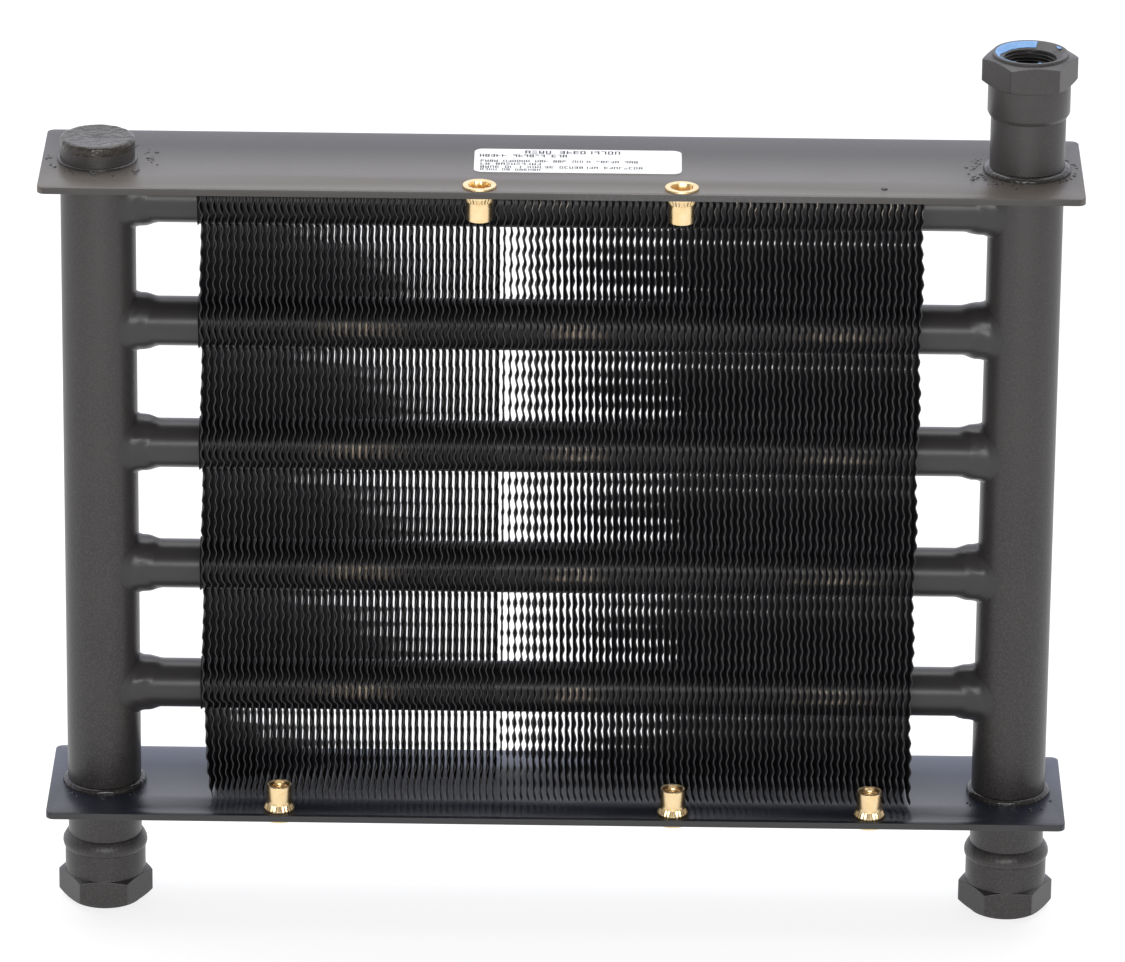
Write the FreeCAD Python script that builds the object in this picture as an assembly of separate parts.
import FreeCAD, Part
import math
import os

# A fin-and-tube hydraulic oil cooler. Two flat plates are held apart by two vertical headers. Five
# core tubes run from header to header through a stack of thin fins. Hot oil goes in at one hex port
# and out at another, and the plates bolt to a fan shroud through the rivet nuts.
# Millimetres. +X is to the right, +Y to the back, +Z up. The origin is on the ground under the middle
# of the core: the cooler stands on the mouths of its two lower ports.

# Plates
PLATE_WIDTH = 526.0
PLATE_DEPTH = 88.9
PLATE_THICK = 3.5
PLATE_CORNER_R = 4.0
FRAME_HEIGHT = 346.0         # underside of the bottom plate to the top of the top plate
PORT_DROP = 61.6             # mouths of the lower ports to the underside of the bottom plate

# Headers
HEADER_SPACING = 470.0       # centre to centre
HEADER_R = 19.05
HEADER_WALL = 2.4
HEADER_CLEAR = 0.1           # round a header where it goes through a plate
PORT_RISE = 62.7             # top plate to the mouth of the upper port
CAP_RISE = 12.3              # top plate to the top of the left header's cap
CAP_THICK = 5.0
CAP_SPIGOT = 6.0

# Hex port fitting, measured down from its mouth
HEX_FLATS = 42.5             # across flats
LIP_R = 19.2
LIP_HEIGHT = 1.5
MOUTH_R = 17.8
MOUTH_DEPTH = 3.0
THREAD_R = 12.45             # inside a 3/4 in pipe thread
THREAD_END = 20.0
FLOW_R = 14.5
HEX_FACE_R = 19.7
HEX_END = 15.8
COLLAR_R = 20.9
COLLAR_END = 31.0
FITTING_END = 33.2
SOCKET_R = 19.2
SOCKET_DEPTH = 8.0

# Core tubes
TUBE_R = 12.7
TUBE_WALL = 1.0
TUBE_COUNT = 5
TUBE_PITCH = 66.7
LOWEST_TUBE = 59.0           # above the underside of the bottom plate
TUBE_END_FROM_HEADER = 9.5   # from a header's centre line to the tube's end inside it

# Turbulators, zigzag strips in the tubes
STRIP_THICK = 0.8
STRIP_WIDTH = 17.6
STRIP_SWING = 7.0
STRIP_STEP = 10.0
STRIP_LENGTH = 440.0

# Fins
FIN_COUNT = 108
FIN_PITCH = 3.39
FIN_THICK = 0.4
FIN_DEPTH = 50.8
FIN_BOTTOM = 5.5             # above the underside of the bottom plate
FIN_TOP_GAP = 0.5            # below the top plate
FIN_HOLE_R = 12.8
FIN_COLLAR_R = 13.2
FIN_COLLAR_LENGTH = 2.9

# Rivet nuts
NUT_PITCH = 101.6
NUT_FIRST = -142.7           # X of the first place in the row
NUT_INSET = 9.5              # from the plates' front edge
NUT_BARREL_R = 6.4
NUT_BARREL = 14.0            # beyond the plate
NUT_BULGE_R = 8.0
NUT_BULGE = 2.6
NUT_FLANGE_R = 8.8
NUT_FLANGE = 1.2
NUT_THREAD_R = 3.97          # inside a 3/8 in thread
NUT_THREAD_LENGTH = 8.5
NUT_OPEN_R = 5.1
TOP_NUT_PLACES = [1, 2]
BOTTOM_NUT_PLACES = [0, 2, 3]

# Small parts
LABEL_SIZE = (105.0, 35.0)
LABEL_CENTRE = (8.0, 4.0)
LABEL_THICK = 0.25
LABEL_CORNER_R = 4.5
CAP_BEAD = (1.4, 1.4)         # rise and reach of the bead at the left header's upper end
PORT_BEAD = (3.2, 3.8)
FOOT_BEAD = (3.4, 2.8)
JOINT_FLARE = 5.5            # how far a braze fillet stands off the tube at its wide end
JOINT_START = 10.0           # from the header's centre line, along the tube
JOINT_END = 26.5
FILM_THICK = 0.25

# Heights that follow from the sizes above
BOTTOM_UNDER = PORT_DROP
BOTTOM_TOP = PORT_DROP + PLATE_THICK
TOP_FACE = PORT_DROP + FRAME_HEIGHT
TOP_UNDER = TOP_FACE - PLATE_THICK
PORT_MOUTH = TOP_FACE + PORT_RISE
CAP_TOP = TOP_FACE + CAP_RISE
PIPE_BOTTOM = FITTING_END - SOCKET_DEPTH
PIPE_TOP = PORT_MOUTH - PIPE_BOTTOM
LEFT_X = -HEADER_SPACING / 2
RIGHT_X = HEADER_SPACING / 2
NUT_Y = NUT_INSET - PLATE_DEPTH / 2

UP = FreeCAD.Vector(0, 0, 1)
ALONG = FreeCAD.Vector(1, 0, 0)


def tube_heights():
    """Z of each core tube's centre line, from the top one down."""
    lowest = BOTTOM_UNDER + LOWEST_TUBE
    return [lowest + TUBE_PITCH * i for i in reversed(range(TUBE_COUNT))]


def cylinder(radius, start, length, direction=UP):
    return Part.makeCylinder(radius, length, FreeCAD.Vector(*start), direction)


def pipe(outer, inner, start, length, direction=UP):
    return cylinder(outer, start, length, direction).cut(cylinder(inner, start, length, direction))


def turned(profile, x, y, angle=360.0):
    """A solid turned about the vertical line at x, y. The profile's points are (radius, height)."""
    points = [FreeCAD.Vector(r, 0, z) for r, z in profile]
    face = Part.Face(Part.makePolygon(points + [points[0]]))
    solid = face.revolve(FreeCAD.Vector(0, 0, 0), UP, angle)
    solid.translate(FreeCAD.Vector(x, y, 0))
    return solid


def turned_bead(profile, crown, x, y):
    """A ring of weld about the vertical line at x, y. Its crown is an arc from the last point of the
    profile, through the crown point, back to the first."""
    points = [FreeCAD.Vector(r, 0, z) for r, z in profile]
    middle = FreeCAD.Vector(crown[0], 0, crown[1])
    edges = [Part.makeLine(a, b) for a, b in zip(points, points[1:])]
    edges.append(Part.Arc(points[-1], middle, points[0]).toShape())
    solid = Part.Face(Part.Wire(edges)).revolve(FreeCAD.Vector(0, 0, 0), UP, 360.0)
    solid.translate(FreeCAD.Vector(x, y, 0))
    return solid


def rounded_slab(width, depth, thick, corner, centre):
    """A flat slab with rounded corners. The centre is that of its underside."""
    x, y, z = centre
    slab = Part.makeBox(width, depth, thick, FreeCAD.Vector(x - width / 2, y - depth / 2, z))
    upright = [e for e in slab.Edges if abs(e.tangentAt(e.FirstParameter).z) > 0.99]
    return slab.makeFillet(corner, upright)


def nut_xs(places):
    return [NUT_FIRST + NUT_PITCH * place for place in places]


def plate(underside, nut_places):
    """One end plate, with a hole for each header and each rivet nut in it."""
    solid = rounded_slab(PLATE_WIDTH, PLATE_DEPTH, PLATE_THICK, PLATE_CORNER_R, (0, 0, underside))
    for x in (LEFT_X, RIGHT_X):
        solid = solid.cut(cylinder(HEADER_R + HEADER_CLEAR, (x, 0, underside - 1), PLATE_THICK + 2))
    for x in nut_xs(nut_places):
        solid = solid.cut(cylinder(NUT_BARREL_R, (x, NUT_Y, underside - 1), PLATE_THICK + 2))
    return solid


def header(x, top, inward):
    """A header tube, with a hole in its inner side for each core tube."""
    solid = pipe(HEADER_R, HEADER_R - HEADER_WALL, (x, 0, PIPE_BOTTOM), top - PIPE_BOTTOM)
    direction = FreeCAD.Vector(inward, 0, 0)
    for z in tube_heights():
        solid = solid.cut(cylinder(TUBE_R + HEADER_CLEAR, (x, 0, z), HEADER_R + 5, direction))
    return solid


def header_cap():
    """A stepped disc: its rim sits on the end of the left header and its spigot drops inside."""
    under = CAP_TOP - CAP_THICK
    spigot_r = HEADER_R - HEADER_WALL - 0.15
    profile = [
        (0, under - CAP_SPIGOT),
        (spigot_r, under - CAP_SPIGOT),
        (spigot_r, under),
        (HEADER_R, under),
        (HEADER_R, CAP_TOP - 1.2),
        (HEADER_R - 1.2, CAP_TOP),
        (0, CAP_TOP),
    ]
    return turned(profile, LEFT_X, 0)


def port_fitting(x, turn):
    """A hex port with its mouth up at z = 0. Its collar end takes the header in a socket."""
    corner_r = HEX_FLATS / math.sqrt(3)
    corners = []
    for i in range(6):
        angle = math.radians(60 * i + turn)
        corners.append(FreeCAD.Vector(corner_r * math.cos(angle), corner_r * math.sin(angle), -HEX_END))
    hexagon = Part.Face(Part.makePolygon(corners + [corners[0]]))
    hex_bar = hexagon.extrude(FreeCAD.Vector(0, 0, HEX_END - LIP_HEIGHT))
    slope = math.tan(math.radians(20))
    reach = corner_r + 1
    crowned = turned(
        [
            (0, -HEX_END),
            (COLLAR_R, -HEX_END),
            (reach, -HEX_END + (reach - COLLAR_R) * slope * 1.1),
            (reach, -LIP_HEIGHT - (reach - HEX_FACE_R) * slope),
            (HEX_FACE_R, -LIP_HEIGHT),
            (0, -LIP_HEIGHT),
        ],
        0,
        0,
    )
    turned_end = turned(
        [
            (0, -FITTING_END),
            (SOCKET_R + 0.3, -FITTING_END),
            (COLLAR_R, -COLLAR_END),
            (COLLAR_R, -HEX_END),
            (0, -HEX_END),
        ],
        0,
        0,
    )
    lip = cylinder(LIP_R, (0, 0, -LIP_HEIGHT), LIP_HEIGHT)
    passage = turned(
        [
            (0, -FITTING_END - 1),
            (SOCKET_R, -FITTING_END - 1),
            (SOCKET_R, -FITTING_END + SOCKET_DEPTH),
            (FLOW_R, -FITTING_END + SOCKET_DEPTH),
            (FLOW_R, -THREAD_END),
            (THREAD_R, -THREAD_END),
            (THREAD_R, -MOUTH_DEPTH),
            (MOUTH_R, 0),
            (MOUTH_R, 1),
            (0, 1),
        ],
        0,
        0,
    )
    solid = hex_bar.common(crowned).fuse(turned_end).fuse(lip).removeSplitter().cut(passage)
    solid.translate(FreeCAD.Vector(x, 0, 0))
    return solid


def upper_port():
    solid = port_fitting(RIGHT_X, 5.0)
    solid.translate(FreeCAD.Vector(0, 0, PORT_MOUTH))
    return solid


def lower_port(x, turn):
    solid = port_fitting(x, turn)
    return solid.rotate(FreeCAD.Vector(x, 0, 0), FreeCAD.Vector(1, 0, 0), 180)


def lower_port_weld(x):
    """The bead that fills the step between a header and its lower fitting's collar."""
    profile = [
        (HEADER_R, FITTING_END + 4.2),
        (HEADER_R, FITTING_END),
        (SOCKET_R + 0.3, FITTING_END),
        (COLLAR_R, COLLAR_END),
        (COLLAR_R, COLLAR_END - 2.0),
    ]
    return turned_bead(profile, (COLLAR_R + 1.1, COLLAR_END + 0.7), x, 0)


def foot_bead(x, z, size):
    """The bead round a header where it comes up through a plate."""
    rise, reach = size
    profile = [(HEADER_R, z + rise), (HEADER_R, z), (HEADER_R + reach, z)]
    crown = (HEADER_R + reach * 0.75, z + rise * 0.66)
    return turned_bead(profile, crown, x, 0)


def header_foot_welds():
    return [foot_bead(x, BOTTOM_TOP, FOOT_BEAD) for x in (LEFT_X, RIGHT_X)]


def core_tube(z):
    start = LEFT_X + TUBE_END_FROM_HEADER
    length = HEADER_SPACING - 2 * TUBE_END_FROM_HEADER
    return pipe(TUBE_R, TUBE_R - TUBE_WALL, (start, 0, z), length, ALONG)


def tube_joints(x, inward):
    """A fillet of braze round each core tube, where it enters a header."""
    direction = FreeCAD.Vector(inward, 0, 0)
    skin = cylinder(HEADER_R, (x, 0, BOTTOM_TOP), FRAME_HEIGHT)
    joints = []
    for z in tube_heights():
        start = FreeCAD.Vector(x + inward * JOINT_START, 0, z)
        length = JOINT_END - JOINT_START
        flare = Part.makeCone(TUBE_R + JOINT_FLARE, TUBE_R + 0.3, length, start, direction)
        joints.append(flare.cut(skin).cut(cylinder(TUBE_R, (x, 0, z), 40, direction)))
    return joints


def turbulator(z):
    """A strip folded into a zigzag, which stirs the oil in a core tube."""
    count = int(STRIP_LENGTH / STRIP_STEP)
    upper = []
    lower = []
    for i in range(count + 1):
        x = i * STRIP_STEP - STRIP_LENGTH / 2
        swing = STRIP_SWING if i % 2 else -STRIP_SWING
        upper.append(FreeCAD.Vector(x, -STRIP_WIDTH / 2, z + swing + STRIP_THICK / 2))
        lower.append(FreeCAD.Vector(x, -STRIP_WIDTH / 2, z + swing - STRIP_THICK / 2))
    outline = upper + lower[::-1] + [upper[0]]
    return Part.Face(Part.makePolygon(outline)).extrude(FreeCAD.Vector(0, STRIP_WIDTH, 0))


def fin_stack():
    """Identical fins. Each has a collar round each tube, which spaces it from the next fin."""
    bottom = BOTTOM_UNDER + FIN_BOTTOM
    height = TOP_UNDER - FIN_TOP_GAP - bottom
    fin = Part.makeBox(FIN_THICK, FIN_DEPTH, height, FreeCAD.Vector(0, -FIN_DEPTH / 2, bottom))
    for z in tube_heights():
        fin = fin.fuse(cylinder(FIN_COLLAR_R, (-FIN_COLLAR_LENGTH, 0, z), FIN_COLLAR_LENGTH, ALONG))
    for z in tube_heights():
        fin = fin.cut(cylinder(FIN_HOLE_R, (-5, 0, z), 10, ALONG))
    first = -FIN_PITCH * (FIN_COUNT - 1) / 2 - FIN_THICK / 2
    fins = []
    for i in range(FIN_COUNT):
        copy = fin.copy()
        copy.translate(FreeCAD.Vector(first + FIN_PITCH * i, 0, 0))
        fins.append(copy)
    return fins


def rivet_nut(x):
    """A set rivet nut, with its flange's underside at z = 0 and its barrel pointing down."""
    end = PLATE_THICK + NUT_BARREL
    profile = [
        (NUT_OPEN_R, NUT_FLANGE),
        (NUT_FLANGE_R - 0.4, NUT_FLANGE),
        (NUT_FLANGE_R, NUT_FLANGE - 0.4),
        (NUT_FLANGE_R, 0),
        (NUT_BARREL_R, 0),
        (NUT_BARREL_R, -PLATE_THICK),
        (NUT_BULGE_R, -PLATE_THICK),
        (NUT_BULGE_R, -PLATE_THICK - NUT_BULGE * 0.5),
        (NUT_BARREL_R, -PLATE_THICK - NUT_BULGE),
        (NUT_BARREL_R, -end),
        (NUT_OPEN_R, -end),
        (NUT_THREAD_R, -end + 1.1),
        (NUT_THREAD_R, -end + 1.1 + NUT_THREAD_LENGTH),
        (NUT_OPEN_R, -end + 2.2 + NUT_THREAD_LENGTH),
    ]
    return turned(profile, x, NUT_Y)


def top_rivet_nuts():
    nuts = []
    for x in nut_xs(TOP_NUT_PLACES):
        nut = rivet_nut(x)
        nut.translate(FreeCAD.Vector(0, 0, TOP_FACE))
        nuts.append(nut)
    return nuts


def bottom_rivet_nuts():
    nuts = []
    for x in nut_xs(BOTTOM_NUT_PLACES):
        nut = rivet_nut(x)
        nut = nut.rotate(FreeCAD.Vector(x, NUT_Y, 0), FreeCAD.Vector(1, 0, 0), 180)
        nut.translate(FreeCAD.Vector(0, 0, BOTTOM_UNDER))
        nuts.append(nut)
    return nuts


def nameplate():
    x, y = LABEL_CENTRE
    return rounded_slab(*LABEL_SIZE, LABEL_THICK, LABEL_CORNER_R, (x, y, TOP_FACE))


def masking_film():
    """A torn strip of film, which lies on the sloping mouth of the upper port."""
    slope = (MOUTH_R - THREAD_R) / MOUTH_DEPTH
    top = PORT_MOUTH - 0.15
    low = PORT_MOUTH - MOUTH_DEPTH + 0.35
    outer_top = MOUTH_R - 0.15 * slope
    outer_low = THREAD_R + 0.35 * slope
    profile = [
        (outer_low, low),
        (outer_top, top),
        (outer_top - FILM_THICK * 2, top),
        (outer_low - FILM_THICK * 2, low),
    ]
    strip = turned(profile, 0, 0, 138.0)
    strip.rotate(FreeCAD.Vector(0, 0, 0), UP, 62.0)
    strip.translate(FreeCAD.Vector(RIGHT_X, 0, 0))
    return strip


def save(name, *solids):
    shape = solids[0] if len(solids) == 1 else Part.makeCompound(list(solids))
    shape.exportStep("parts/" + name + ".step")
    box = shape.optimalBoundingBox()
    print(name, len(shape.Solids), shape.isValid(), round(shape.Volume), [round(v, 2) for v in (
        box.XMin, box.XMax, box.YMin, box.YMax, box.ZMin, box.ZMax)])


os.makedirs("parts", exist_ok=True)

save("top_plate", plate(TOP_UNDER, TOP_NUT_PLACES))
save("bottom_plate", plate(BOTTOM_UNDER, BOTTOM_NUT_PLACES))
save("left_header", header(LEFT_X, CAP_TOP - CAP_THICK, 1))
save("right_header", header(RIGHT_X, PIPE_TOP, -1))
save("left_header_cap", header_cap())
save("top_right_port", upper_port())
save("bottom_left_port", lower_port(LEFT_X, 0.0))
save("bottom_right_port", lower_port(RIGHT_X, -2.5))
save("bottom_left_port_weld", lower_port_weld(LEFT_X))
save("bottom_right_port_weld", lower_port_weld(RIGHT_X))
save("left_cap_weld", foot_bead(LEFT_X, TOP_FACE, CAP_BEAD))
save("right_header_weld", foot_bead(RIGHT_X, TOP_FACE, PORT_BEAD))
save("header_foot_welds", *header_foot_welds())
for number, height in enumerate(tube_heights(), 1):
    save("core_tube_%d" % number, core_tube(height))
    save("turbulator_%d" % number, turbulator(height))
save("left_tube_joints", *tube_joints(LEFT_X, 1))
save("right_tube_joints", *tube_joints(RIGHT_X, -1))
save("fin_stack", *fin_stack())
save("top_rivet_nuts", *top_rivet_nuts())
save("bottom_rivet_nuts", *bottom_rivet_nuts())
save("nameplate", nameplate())
save("masking_film", masking_film())
